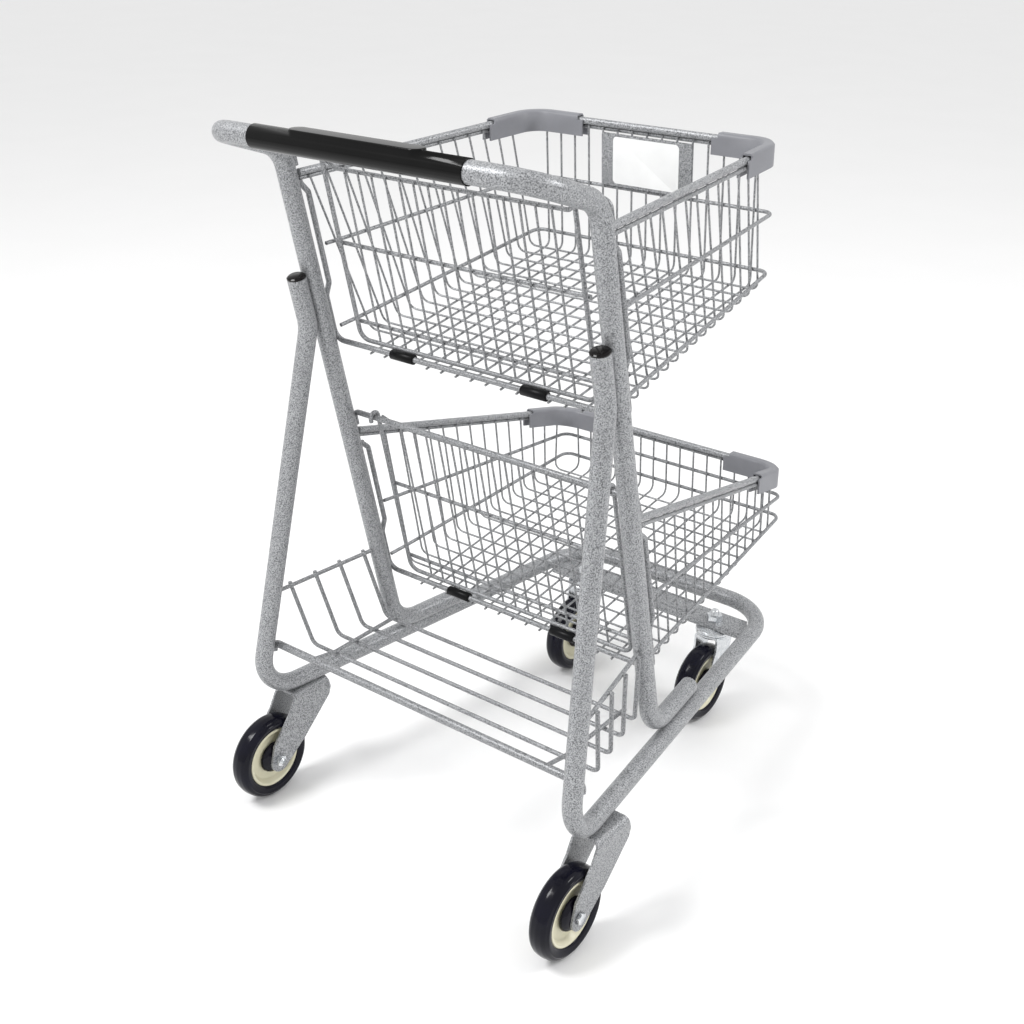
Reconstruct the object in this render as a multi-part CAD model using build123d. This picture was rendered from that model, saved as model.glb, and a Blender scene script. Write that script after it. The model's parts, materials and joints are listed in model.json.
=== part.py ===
from build123d import *
import math
import os

os.makedirs("parts", exist_ok=True)

# Two-tier wire shopping cart. Millimetres; x across (+x is the pusher's right), y forwards,
# z up from the floor. Here y counts from the rear axle; save() moves it to the middle.

# clearances
WELD = 0.03        # gap left where two pieces are welded
BUTT = 0.4         # gap where a cut end meets a slanted tube
RUNNING = 0.05     # radial clearance of a turning fit
CLEAR = 0.35       # gap between pieces that move past each other

# wheels
WHEEL_R = 63.5
WHEEL_W = 31.0
TYRE_SEAT_R = 45.0
HUB_R = 11.0
HUB_W = 29.0
REAR_WHEEL_X = 269.6
CASTER_X = 125.0
FRONT_AXLE_Y = 560.0
BOLT_D = 9.5
FORK_PLATE = 3.0
FORK_W = 40.8      # over the outside of a fork

# tubes
TUBE_D = 25.4
TUBE_WALL = 2.0
TUBE_R = TUBE_D / 2

# uprights of the handle frame: a straight line given at one height
UPRIGHT_Z = 900.0
UPRIGHT_X = 238.7
UPRIGHT_Y = 88.8
RAKE = 0.2142      # backward lean, mm per mm of height
SPREAD = 0.0066    # outward lean
TILT = math.atan(RAKE)
HANDLE_Y = -30.4
HANDLE_Z = 972.5
ARM_FOOT_Z = 933.4
HANDLE_BEND = 45.0
FOOT_BEND = 50.0
FOOT_END_Y = 368.0
FOOT_INSET = 9.3   # foot sits this far inboard of the rail it rests on
GRIP_D = 28.4
GRIP_HALF = 157.0
GRIP_PAD_HALF = 97.0

# base tube
RAIL_Z = 165.5
RAIL_X = 267.8     # half width at RAIL_Y
RAIL_Y = 50.0
RAIL_TAPER = 0.1357
REAR_BEND_Y = -4.7
REAR_BEND = 52.0
FRONT_Y = 661.0
FRONT_BEND = 85.0
KNEE_Z = 698.0
KNEE_BEND = 60.0
LEG_TOP_Z = 766.4
CAP_T = 4.0
CAP_PLUG = 10.0

MID_Y = (FRONT_Y + TUBE_R - WHEEL_R) / 2

# rods
HINGE_ROD_D = 8.0
HINGE_ROD_BEND = 10.0
REAR_ROD_D = 7.5
REAR_ROD_BEND = 15.0
REAR_ROD_AHEAD = 26.0
THIN_D = 3.0
BAND_D = 5.3
RIM_D = 9.5
UNDER_D = 5.5
UNDER_DROP = 8.0
RIM_OUT = 2.0      # rim rod centre outside the wire plane
WIRE_BEND = 11.0
FRONT_PITCH = 24.4
FRONT_SIDE_COUNT = 7
FRONT_LEAN = 0.04
NUB = 4.0

# each basket; walls are planes x = wall_x - taper * (y - rear_y) + draft * (z - rim_z)
UPPER = dict(
    name="upper", rim_z=900.0, rim_y=102.0, rim_slope=0.0369, wall_x=231.0, taper=0.0830,
    draft=0.0205, front_y=536.0, bar_z=668.0, floor_slope=0.165, rim_bend=35.0,
    side_count=14, side_top=118.0, side_top_pitch=28.4, side_foot=203.3, side_foot_pitch=24.75,
    mid_rear_z=802.5, mid_front_z=828.0, low_rear_z=689.0, low_front_z=747.0,
    rod_top_z=885.0, rod_out_z=872.0, rod_in_z=748.0, rod_back_z=732.0,
    hinge_z=932.0, hinge_end_z=908.0, sleeves=(-116.0, 99.0),
    bumper_rear_y=440.0, gate_half=192.0, gate_shift=-5.0, rest_above=6.7,
    gate_top_z=909.0, gate_mid_z=809.0, gate_low_z=699.0, gate_reach=178.0,
)
LOWER = dict(
    name="lower", rim_z=527.8, rim_y=182.0, rim_slope=-0.2287, wall_x=232.0, taper=0.0787,
    draft=0.0050, front_y=627.5, bar_z=287.0, floor_slope=0.130, rim_bend=40.0,
    side_count=14, side_top=231.0, side_top_pitch=28.6, side_foot=269.4, side_foot_pitch=25.6,
    mid_rear_z=402.0, mid_front_z=385.0, low_rear_z=311.0, low_front_z=350.0,
    rod_top_z=505.0, rod_out_z=495.0, rod_in_z=371.0, rod_back_z=354.0,
    hinge_z=556.5, hinge_end_z=536.0, sleeves=(-99.0, 87.0),
    bumper_rear_y=534.0, gate_half=197.0, gate_shift=0.0, rest_above=8.5,
    gate_top_z=545.0, gate_mid_z=444.0, gate_low_z=317.0, gate_reach=173.0,
)

# front plate on the upper basket
PANEL_HALF = 73.5
PANEL_T = 1.5
LABEL_HALF = 54.0
LABEL_H = 65.0
LABEL_T = 0.5

# corner bumpers
BUMPER_INNER = 5.6
BUMPER_WALL = 2.5
BUMPER_SKIRT = 29.0
BUMPER_FRONT_X = 105.0
BUMPER_STEPS = 12
BUMPER_NOTCH = 9.0
BUMPER_ROOF_GAP = 0.9

# gates
GATE_D = 6.0
GATE_CROSS_D = 5.5
GATE_PITCH = 22.6
GATE_SIDE_COUNT = 7
GATE_BEND = 15.0
HOOK_TAIL = 4.0
SLEEVE_D = 13.4
SLEEVE_L = 39.0
SLEEVE_REST = 0.3

# tray
TRAY_BAR_D = 11.0
TRAY_BAR_Z = 240.7
TRAY_BAR_END_Z = 229.0
TRAY_D = 6.0
TRAY_Z = 217.0
TRAY_WIRE_Y = 88.0
TRAY_WIRE_PITCH = 41.5
TRAY_COUNT = 4
TRAY_HALF = 252.8
TRAY_NARROWING = 9.4
TRAY_LONG_X = 205.0
TRAY_RISE_Y = 84.0
TRAY_RAIL_Z = 322.0
TRAY_RAIL_RISE = 9.0
HOOP_LEAN = 24.6
HOOP_OVER = 2.0

# casters and rear forks
PLATE_REAR_Y = 577.0
PLATE_FRONT_Y = 618.0
PLATE_TOP_Z = 162.0
PLATE_T = 3.5
PLATE_FLANGE = 10.0
STEM_Y = 592.0
STEM_D = 12.0
STEM_TOP_Z = 180.0
RACE_R = 29.0
RACE_TOP_Z = 151.5
RACE_H = 7.0
NUT_H = 9.5
NUT_ACROSS = 22.0
NECK_R = 11.0
AXLE_HEAD_ACROSS = 15.0
AXLE_HEAD_H = 6.0
GUARD_R = 24.0
FORK_TOP_FRONT_Y = 107.0


# ---------------------------------------------------------------- building blocks

def bent_path(points, bends):
    pts = [Vector(*p) for p in points]
    edges = []
    start = pts[0]
    for before, corner, after, radius in zip(pts, pts[1:], pts[2:], bends):
        back = (before - corner).normalized()
        ahead = (after - corner).normalized()
        half = math.radians(back.get_angle(ahead)) / 2
        reach = radius / math.tan(half)
        middle = corner + (back + ahead).normalized() * (radius / math.sin(half) - radius)
        arc_start = corner + back * reach
        arc_end = corner + ahead * reach
        edges.append(Line(start, arc_start))
        edges.append(ThreePointArc(arc_start, middle, arc_end))
        start = arc_end
    edges.append(Line(start, pts[-1]))
    return Wire(edges)


def rod(points, diameter, bends=(), wall=0.0):
    path = bent_path(points, bends)
    section = Circle(diameter / 2)
    if wall:
        section = section - Circle(diameter / 2 - wall)
    start = Plane(origin=path @ 0, z_dir=path % 0)
    return sweep(start * section, path=path)


def both_sides(half):
    return list(half) + [(-x, y, z) for x, y, z in reversed(half)]


def mirrored(solid):
    return mirror(solid, about=Plane.YZ)


def turned(profile):
    # profile holds (radius, height) corners, turned about the z axis
    outline = Polyline([(r, 0, z) for r, z in profile], close=True)
    return revolve(make_face(outline), axis=Axis.Z)


def across_x(solid, x, y, z):
    return Pos(x, y, z) * (Rot(0, 90, 0) * solid)


def hexagon(across, height):
    return extrude(RegularPolygon(across / math.sqrt(3), 6), amount=height)


def save(name, parts):
    solids = []
    for part in parts:
        solids.extend((Pos(0, -MID_Y, 0) * part).solids())
    export_step(Compound(children=solids), "parts/" + name + ".step")


# ---------------------------------------------------------------- where things are

def upright_x(z):
    return UPRIGHT_X + SPREAD * (z - UPRIGHT_Z)


def upright_y(z, ahead=0.0):
    return UPRIGHT_Y - RAKE * (z - UPRIGHT_Z) + ahead / math.cos(TILT)


def rail_x(y):
    return RAIL_X - RAIL_TAPER * (y - RAIL_Y)


def leg_point(z):
    knee_y = upright_y(KNEE_Z, -(TUBE_D + WELD))
    share = (z - RAIL_Z) / (KNEE_Z - RAIL_Z)
    x = rail_x(REAR_BEND_Y) + share * (upright_x(KNEE_Z) - rail_x(REAR_BEND_Y))
    return x, REAR_BEND_Y + share * (knee_y - REAR_BEND_Y), z


def leg_tilt():
    return math.atan2(leg_point(KNEE_Z)[1] - REAR_BEND_Y, KNEE_Z - RAIL_Z)


def foot_z():
    side = FOOT_INSET * math.cos(math.atan(RAIL_TAPER))
    return RAIL_Z + math.sqrt((TUBE_D + WELD) ** 2 - side ** 2)


def rail_inner_x(y):
    # inner face of the base tube at a given y, through the front bend
    slant = math.atan(RAIL_TAPER)
    centre_y = FRONT_Y - FRONT_BEND
    centre_x = rail_x(centre_y) - FRONT_BEND / math.cos(slant)
    inner = FRONT_BEND - TUBE_R
    if y < centre_y + inner * math.sin(slant):
        return rail_x(y) - TUBE_R / math.cos(slant)
    return centre_x + math.sqrt(inner ** 2 - (y - centre_y) ** 2)


def wall_x(b, y, z, out=0.0):
    square = math.sqrt(1 + b["taper"] ** 2 + b["draft"] ** 2)
    return b["wall_x"] - b["taper"] * (y - b["rim_y"]) + b["draft"] * (z - b["rim_z"]) + out * square


def front_plane_y(b, z, out=0.0):
    return b["front_y"] + FRONT_LEAN * (rim_height(b, b["front_y"]) - z) + out


def rim_height(b, y):
    return b["rim_z"] + b["rim_slope"] * (y - b["rim_y"])


def bar_y(b):
    return upright_y(b["bar_z"], TUBE_R + REAR_ROD_D / 2 + WELD)


def floor_cos(b):
    return math.cos(math.atan(b["floor_slope"]))


def cross_floor_z(b, y):
    # the bar and the cross wires both lie on the lengthwise wires
    lift = (REAR_ROD_D - THIN_D) / 2 / floor_cos(b)
    return b["bar_z"] - lift + b["floor_slope"] * (y - bar_y(b))


def long_floor_z(b, y):
    return cross_floor_z(b, y) - (THIN_D + WELD) / floor_cos(b)


# ---------------------------------------------------------------- frame

def base_frame():
    half = [
        (upright_x(LEG_TOP_Z), upright_y(LEG_TOP_Z, -(TUBE_D + WELD)), LEG_TOP_Z),
        leg_point(KNEE_Z),
        (rail_x(REAR_BEND_Y), REAR_BEND_Y, RAIL_Z),
        (rail_x(FRONT_Y), FRONT_Y, RAIL_Z),
    ]
    bends = [KNEE_BEND, REAR_BEND, FRONT_BEND, FRONT_BEND, REAR_BEND, KNEE_BEND]
    return rod(both_sides(half), TUBE_D, bends, TUBE_WALL)


def leg_cap():
    top = Vector(upright_x(LEG_TOP_Z), upright_y(LEG_TOP_Z, -(TUBE_D + WELD)), LEG_TOP_Z)
    along = top - Vector(*leg_point(KNEE_Z))
    place = Plane(origin=top, z_dir=along)
    bore = TUBE_R - TUBE_WALL - WELD
    profile = [(0, -CAP_PLUG), (bore, -CAP_PLUG), (bore, WELD), (TUBE_R, WELD),
               (TUBE_R, CAP_T * 0.5), (TUBE_R - 2.5, CAP_T), (0, CAP_T)]
    return place.location * turned(profile)


def handle_frame():
    foot = foot_z()
    corner_y = upright_y(foot)
    half = [
        (rail_x(FOOT_END_Y) - FOOT_INSET, FOOT_END_Y, foot),
        (rail_x(corner_y) - FOOT_INSET, corner_y, foot),
        (upright_x(ARM_FOOT_Z), upright_y(ARM_FOOT_Z), ARM_FOOT_Z),
        (upright_x(HANDLE_Z), HANDLE_Y, HANDLE_Z),
    ]
    bends = [FOOT_BEND, HANDLE_BEND, HANDLE_BEND, HANDLE_BEND, HANDLE_BEND, FOOT_BEND]
    return rod(both_sides(half), TUBE_D, bends, TUBE_WALL)


def handle_grip():
    sleeve = extrude(Circle(GRIP_D / 2) - Circle(TUBE_R + WELD), amount=2 * GRIP_HALF)
    sleeve = Pos(-GRIP_HALF, HANDLE_Y, HANDLE_Z) * (Rot(0, 90, 0) * sleeve)
    pad_face = SlotOverall(2 * GRIP_PAD_HALF, GRIP_D * 0.8)
    pad = extrude(pad_face, amount=GRIP_D / 2 + 2.2)
    pad = fillet(pad.faces().sort_by(Axis.Z)[-1].edges(), 1.8)
    pad = Pos(0, HANDLE_Y, HANDLE_Z) * pad
    bore = Pos(-GRIP_HALF, HANDLE_Y, HANDLE_Z) * (
        Rot(0, 90, 0) * extrude(Circle(GRIP_D / 2 - 1), amount=2 * GRIP_HALF))
    return sleeve + (pad - bore)


def hinge_rod(b):
    ahead = TUBE_R + HINGE_ROD_D / 2 + WELD
    half = [
        (upright_x(b["hinge_z"]), upright_y(b["hinge_end_z"], ahead), b["hinge_end_z"]),
        (upright_x(b["hinge_z"]), upright_y(b["hinge_z"], ahead), b["hinge_z"]),
    ]
    return rod(both_sides(half), HINGE_ROD_D, [HINGE_ROD_BEND] * 2)


def rear_rod(b):
    touch = TUBE_R + REAR_ROD_D / 2 + WELD
    x = upright_x(b["bar_z"])
    half = [
        (x, upright_y(b["rod_top_z"] + 3, touch), b["rod_top_z"] + 3),
        (x, upright_y(b["rod_top_z"], touch), b["rod_top_z"]),
        (x, upright_y(b["rod_out_z"], REAR_ROD_AHEAD), b["rod_out_z"]),
        (x, upright_y(b["rod_in_z"], REAR_ROD_AHEAD), b["rod_in_z"]),
        (x, upright_y(b["rod_back_z"], touch), b["rod_back_z"]),
        (x, bar_y(b), b["bar_z"]),
    ]
    bends = [4, 8, 8, 8, REAR_ROD_BEND]
    return rod(both_sides(half), REAR_ROD_D, bends + bends[::-1])


# ---------------------------------------------------------------- baskets

def rim_half(b, drop, out):
    # right half of a rod that follows the rim, its rear end against the upright
    z_rear = rim_height(b, b["rim_y"]) - drop
    slant = RAKE + max(0, -b["rim_slope"])
    rear_y = upright_y(z_rear, TUBE_R) + BUTT + slant * RIM_D / 2
    z_rear = rim_height(b, rear_y) - drop
    z_front = rim_height(b, b["front_y"]) - drop
    front = front_plane_y(b, z_front, out)
    return [(wall_x(b, rear_y, z_rear, out), rear_y, z_rear),
            (wall_x(b, front, z_front, out), front, z_front)]


def rim(b):
    under_out = THIN_D / 2 + UNDER_D / 2 + WELD
    top = rod(both_sides(rim_half(b, 0, RIM_OUT)), RIM_D, [b["rim_bend"]] * 2)
    grown = b["rim_bend"] + under_out - RIM_OUT
    under = rod(both_sides(rim_half(b, UNDER_DROP, under_out)), UNDER_D, [grown] * 2)
    return [top, under]


def band(b, rear_z, front_z):
    out = THIN_D / 2 + BAND_D / 2 + WELD
    ahead = upright_y(rear_z, TUBE_R + REAR_ROD_D + BUTT)
    if b["rod_in_z"] < rear_z < b["rod_out_z"]:
        ahead = upright_y(rear_z, REAR_ROD_AHEAD + REAR_ROD_D / 2 + BUTT)
    ahead = ahead + RAKE * BAND_D / 2
    flare_y = ahead + 32
    front = front_plane_y(b, front_z, out)
    slope = (front_z - rear_z) / (front - ahead)
    flare_z = rear_z + slope * (flare_y - ahead)
    rear_x = min(wall_x(b, flare_y, flare_z, out) + 4, upright_x(rear_z) - 3)
    rear_x = max(rear_x, wall_x(b, ahead, rear_z, out))
    half = [(rear_x, ahead, rear_z),
            (wall_x(b, flare_y, flare_z, out), flare_y, flare_z),
            (wall_x(b, front, front_z, out), front, front_z)]
    return rod(both_sides(half), BAND_D, [40, 15, 15, 40])


def band_wires(b):
    return [band(b, b["mid_rear_z"], b["mid_front_z"]), band(b, b["low_rear_z"], b["low_front_z"])]


def wire_top_z(b, y):
    return rim_height(b, y) - (RIM_D / 2 + WELD) * math.sqrt(1 + b["rim_slope"] ** 2) - 0.4


def corner_pull(b, along):
    # how far the second rim rod has turned inwards, `along` mm before its sharp corner
    radius = b["rim_bend"] + THIN_D / 2 + UNDER_D / 2 + WELD - RIM_OUT
    turn = math.pi / 2 - math.atan(b["taper"])
    into = radius * math.tan(turn / 2) - along
    if into <= 0:
        return 0.0
    return radius - math.sqrt(radius ** 2 - into ** 2)


def side_foot(b, k):
    y = b["side_foot"] + b["side_foot_pitch"] * k
    z = cross_floor_z(b, y)
    return wall_x(b, y, z), y, z


def side_bend_reach(b, k):
    top = side_top(b, k)
    foot = side_foot(b, k)
    up = (Vector(*top) - Vector(*foot)).normalized()
    half = math.radians(up.get_angle(Vector(-1, 0, 0))) / 2
    return WIRE_BEND / math.tan(half)


def side_top(b, k):
    y = b["side_top"] + b["side_top_pitch"] * k
    z = wire_top_z(b, y)
    return wall_x(b, y, z) - corner_pull(b, b["front_y"] - y), y, z


def side_wires(b):
    wires = []
    for k in range(b["side_count"]):
        foot = side_foot(b, k)
        end = (foot[0] - side_bend_reach(b, k) - 0.5, foot[1], foot[2])
        wire = rod([side_top(b, k), foot, end], THIN_D, [WIRE_BEND])
        wires.append(wire)
        wires.append(mirrored(wire))
    return wires


def floor_cross_wires(b):
    wires = []
    for k in range(b["side_count"]):
        x, y, z = side_foot(b, k)
        reach = x - side_bend_reach(b, k) - 0.5 - WELD
        wires.append(rod([(-reach, y, z), (reach, y, z)], THIN_D))
    return wires


def front_foot(b, x):
    z = long_floor_z(b, b["front_y"])
    for _ in range(4):
        z = long_floor_z(b, front_plane_y(b, z))
    return x, front_plane_y(b, z), z


def front_top(b, x):
    # a wire near the corner ends under the bend of the rim rods
    z = wire_top_z(b, b["front_y"])
    corner_x = wall_x(b, b["front_y"], z)
    return x, front_plane_y(b, z) - corner_pull(b, corner_x - abs(x)), z


def front_bend_reach(b):
    up = (Vector(*front_top(b, 0)) - Vector(*front_foot(b, 0))).normalized()
    back = Vector(0, -1, -b["floor_slope"]).normalized()
    return WIRE_BEND / math.tan(math.radians(up.get_angle(back)) / 2)


def front_wires(b):
    wires = []
    for k in range(-FRONT_SIDE_COUNT, FRONT_SIDE_COUNT + 1):
        foot = front_foot(b, k * FRONT_PITCH)
        end_y = foot[1] - (front_bend_reach(b) + 0.5) * floor_cos(b)
        end = (foot[0], end_y, long_floor_z(b, end_y))
        wires.append(rod([front_top(b, foot[0]), foot, end], THIN_D, [WIRE_BEND]))
    return wires


def floor_long_wires(b):
    wires = []
    foot = front_foot(b, 0)
    end_y = foot[1] - (front_bend_reach(b) + 0.5) * floor_cos(b) - WELD
    for k in range(-FRONT_SIDE_COUNT, FRONT_SIDE_COUNT + 1):
        x = k * FRONT_PITCH
        start_y = bar_y(b) - NUB
        if min(abs(x - sleeve) for sleeve in b["sleeves"]) < (SLEEVE_L + THIN_D) / 2 + CLEAR:
            start_y = bar_y(b) + SLEEVE_D / 2 + BUTT
        wires.append(rod([(x, start_y, long_floor_z(b, start_y)),
                          (x, end_y, long_floor_z(b, end_y))], THIN_D))
    return wires


def bumper(b, side):
    z_front = rim_height(b, b["front_y"])
    front = front_plane_y(b, z_front, RIM_OUT)
    rear_y = b["bumper_rear_y"]
    rear_z = rim_height(b, rear_y)
    points = [(wall_x(b, rear_y, rear_z, RIM_OUT), rear_y, rear_z),
              (wall_x(b, front, z_front, RIM_OUT), front, z_front),
              (BUMPER_FRONT_X, front, z_front)]
    path = bent_path(points, [b["rim_bend"]])
    inner = BUMPER_INNER
    outer = BUMPER_INNER + BUMPER_WALL
    roof = RIM_D / 2 + BUMPER_ROOF_GAP
    top = roof + BUMPER_WALL
    low = top - BUMPER_SKIRT
    round_off = 3.0
    outline = Polyline([(-outer, low), (-outer, top - round_off), (-outer + round_off, top),
                        (outer - round_off, top), (outer, top - round_off), (outer, low),
                        (inner, low), (inner, roof), (-inner, roof), (-inner, low)], close=True)
    # upright sections along the path, closer together round the corner
    side_run = path.edges()[0].length
    corner_run = path.edges()[1].length
    stops = [0.0] + [side_run + corner_run * k / BUMPER_STEPS for k in range(BUMPER_STEPS + 1)]
    stops.append(path.length)
    sections = []
    for stop in stops:
        ahead = path % (stop / path.length)
        level = Vector(ahead.X, ahead.Y, 0)
        place = Plane(origin=path @ (stop / path.length),
                      x_dir=Vector(0, 0, 1).cross(level), z_dir=level)
        sections.append(place * make_face(outline))
    shell = loft(sections, ruled=True)
    # the roof is cut back at both ends, the skirts run on
    for stop, way in ((0.0, 1), (1.0, -1)):
        ahead = (path % stop) * way
        level = Vector(ahead.X, ahead.Y, 0).normalized()
        place = Plane(origin=path @ stop - level, x_dir=Vector(0, 0, 1).cross(level), z_dir=level)
        notch = Pos(0, top) * Rectangle(4 * outer, 2 * (top - roof + BUMPER_NOTCH / 2))
        shell = shell - extrude(place * notch, amount=BUMPER_NOTCH + 1)
    if side < 0:
        return mirrored(shell)
    return shell


def plate_on_front(b, half, z_low, z_high, start, thickness, corner):
    # a plate lying against the inside of the front wires, leaning with them
    centre_z = (z_low + z_high) / 2
    height = (z_high - z_low) * math.sqrt(1 + FRONT_LEAN ** 2)
    face = RectangleRounded(2 * half, height, corner)
    place = Plane(origin=(0, front_plane_y(b, centre_z), centre_z),
                  x_dir=(1, 0, 0), z_dir=(0, -1, -FRONT_LEAN))
    return extrude(place.offset(start) * face, amount=thickness)


def panel_heights(b):
    z_low = b["mid_front_z"] + BAND_D / 2 + 0.8
    z_high = rim_height(b, b["front_y"]) - UNDER_DROP - UNDER_D / 2 - 0.8
    return z_low, z_high


def front_panel(b):
    z_low, z_high = panel_heights(b)
    return plate_on_front(b, PANEL_HALF, z_low, z_high, THIN_D / 2 + WELD, PANEL_T, 3)


def panel_label(b):
    z_low, z_high = panel_heights(b)
    middle = (z_low + z_high) / 2
    start = THIN_D / 2 + WELD + PANEL_T + 0.01
    return plate_on_front(b, LABEL_HALF, middle - LABEL_H / 2, middle + LABEL_H / 2, start, LABEL_T, 6)


def gate_sleeves(b):
    sleeves = []
    for x in b["sleeves"]:
        tube = extrude(Circle(SLEEVE_D / 2) - Circle(REAR_ROD_D / 2 + WELD), amount=SLEEVE_L)
        tube = chamfer(tube.edges().filter_by(GeomType.CIRCLE).group_by(SortBy.RADIUS)[-1], 0.8)
        sleeves.append(across_x(tube, x - SLEEVE_L / 2, bar_y(b), b["bar_z"]))
    return sleeves


# ---------------------------------------------------------------- gates

def gate_offset():
    # centre of the hook wire from the centre of the rod it turns on
    return HINGE_ROD_D / 2 + CLEAR + GATE_D / 2


def gate_pose(b):
    pivot_y = upright_y(b["hinge_z"], TUBE_R + HINGE_ROD_D / 2 + WELD)
    away = SLEEVE_D / 2 + GATE_D / 2 + SLEEVE_REST
    above = b["rest_above"]
    rest_y = bar_y(b) + math.sqrt(away ** 2 - above ** 2)
    rest_z = b["bar_z"] + above
    dy = rest_y - pivot_y
    dz = rest_z - b["hinge_z"]
    reach = math.hypot(dy, dz)
    lean = math.atan2(dy, -dz) - math.asin(gate_offset() / reach)
    return pivot_y, lean, math.sqrt(reach ** 2 - gate_offset() ** 2)


def gate_point(b, x, down, ahead):
    pivot_y, lean, _ = gate_pose(b)
    return (x + b["gate_shift"], pivot_y + down * math.sin(lean) + ahead * math.cos(lean),
            b["hinge_z"] - down * math.cos(lean) + ahead * math.sin(lean))


def gate_down(b, z, ahead):
    _, lean, _ = gate_pose(b)
    return (b["hinge_z"] + ahead * math.sin(lean) - z) / math.cos(lean)


def gate_outer(b):
    _, _, length = gate_pose(b)
    off = gate_offset()
    half = b["gate_half"]
    right = [(half, HOOK_TAIL, -off), (half, -off, -off), (half, -off, off), (half, length, off)]
    points = right + [(-x, down, ahead) for x, down, ahead in reversed(right)]
    hook = off - 0.01
    bends = [hook, hook, GATE_BEND, GATE_BEND, hook, hook]
    return rod([gate_point(b, *p) for p in points], GATE_D, bends)


def gate_frame(b):
    cross_ahead = gate_offset() + (GATE_D + GATE_CROSS_D) / 2 + WELD
    reach = b["gate_half"] + GATE_D / 2
    wires = [gate_outer(b)]
    for z in (b["gate_mid_z"], b["gate_low_z"]):
        down = gate_down(b, z, cross_ahead)
        wires.append(rod([gate_point(b, -reach, down, cross_ahead),
                          gate_point(b, reach, down, cross_ahead)], GATE_CROSS_D))
    down = gate_down(b, b["gate_top_z"], cross_ahead)
    tip = b["gate_half"] - 1
    half = [(tip, down - 9, cross_ahead), (b["gate_reach"], down, cross_ahead)]
    points = half + [(-x, d, a) for x, d, a in reversed(half)]
    wires.append(rod([gate_point(b, *p) for p in points], GATE_CROSS_D, [8, 8]))
    return wires


def gate_uprights(b):
    _, _, length = gate_pose(b)
    cross_ahead = gate_offset() + (GATE_D + GATE_CROSS_D) / 2 + WELD
    ahead = cross_ahead - (GATE_CROSS_D + THIN_D) / 2 - WELD
    top = gate_down(b, b["gate_top_z"], cross_ahead) - GATE_CROSS_D / 2 - 1
    end = length - GATE_D / 2 - WELD
    wires = []
    for k in range(-GATE_SIDE_COUNT, GATE_SIDE_COUNT + 1):
        x = k * GATE_PITCH
        wires.append(rod([gate_point(b, x, top, ahead), gate_point(b, x, end, ahead)], THIN_D))
    return wires


# ---------------------------------------------------------------- tray

def tray_rear_bar():
    ahead = (TUBE_R + TRAY_BAR_D / 2 + WELD) / math.cos(leg_tilt())
    top = leg_point(TRAY_BAR_Z)
    low = leg_point(TRAY_BAR_END_Z)
    half = [(low[0], low[1] + ahead, low[2]), (top[0], top[1] + ahead, top[2])]
    return rod(both_sides(half), TRAY_BAR_D, [9, 9])


def tray_rail_point(y):
    # rail runs from the front of a leg to the back of an upright
    start = leg_point(TRAY_RAIL_Z)
    start_y = start[1] + TUBE_R / math.cos(leg_tilt()) + BUTT + TRAY_D / 2 * math.tan(leg_tilt())
    end_z = TRAY_RAIL_Z + TRAY_RAIL_RISE
    end_y = upright_y(end_z, -TUBE_R) - BUTT - TRAY_D / 2 * RAKE
    share = (y - start_y) / (end_y - start_y)
    return (start[0] + share * (upright_x(end_z) - start[0]), y,
            TRAY_RAIL_Z + share * TRAY_RAIL_RISE), start_y, end_y


def tray_side_rails():
    _, start_y, end_y = tray_rail_point(0)
    wire = rod([tray_rail_point(start_y)[0], tray_rail_point(end_y)[0]], TRAY_D)
    return [wire, mirrored(wire)]


def tray_foot(k):
    return TRAY_HALF - TRAY_NARROWING * k, TRAY_WIRE_Y + TRAY_WIRE_PITCH * k, TRAY_Z


def tray_hoops():
    wires = []
    for k in range(TRAY_COUNT):
        foot = tray_foot(k)
        rail = tray_rail_point(foot[1] - HOOP_LEAN)[0]
        top = (rail[0] + TRAY_D + BUTT, rail[1], rail[2] + HOOP_OVER)
        wire = rod([top, foot, (foot[0] - 14, foot[1], foot[2])], TRAY_D, [WIRE_BEND])
        wires.append(wire)
        wires.append(mirrored(wire))
    return wires


def tray_floor_wires():
    wires = []
    for k in range(TRAY_COUNT):
        x, y, z = tray_foot(k)
        reach = x - 14 - WELD
        wires.append(rod([(-reach, y, z), (reach, y, z)], TRAY_D))
    return wires


def tray_long_wires():
    z = TRAY_Z + TRAY_D + WELD
    ahead = (TUBE_R + TRAY_BAR_D / 2 + WELD) / math.cos(leg_tilt())
    bar = leg_point(TRAY_BAR_Z)
    # the rear end rises to the lower front of the bar
    bar_wire_z = bar[2] - TRAY_BAR_D / 2 - TRAY_D / 2 + 0.3
    front = tray_foot(TRAY_COUNT - 1)[1] + TRAY_D
    points = [(TRAY_LONG_X, bar[1] + ahead + 4.6, bar_wire_z), (TRAY_LONG_X, TRAY_RISE_Y, z),
              (TRAY_LONG_X, front, z)]
    wire = rod(points, TRAY_D, [20])
    return [wire, mirrored(wire)]


# ---------------------------------------------------------------- wheels

def tyre():
    half = WHEEL_W / 2
    profile = [
        (TYRE_SEAT_R + WELD, -half + 3.5), (TYRE_SEAT_R + 3.5, -half + 1.2),
        (TYRE_SEAT_R + 8, -half), (TYRE_SEAT_R + 10.5, -half), (TYRE_SEAT_R + 11.5, -half + 1.3),
        (WHEEL_R - 3.2, -half + 3.4), (WHEEL_R - 0.9, -half + 7.5), (WHEEL_R, -0.9),
        (WHEEL_R, 0.9), (WHEEL_R - 0.9, half - 7.5), (WHEEL_R - 3.2, half - 3.4),
        (TYRE_SEAT_R + 11.5, half - 1.3), (TYRE_SEAT_R + 10.5, half), (TYRE_SEAT_R + 8, half),
        (TYRE_SEAT_R + 3.5, half - 1.2), (TYRE_SEAT_R + WELD, half - 3.5),
    ]
    return turned(profile)


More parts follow.
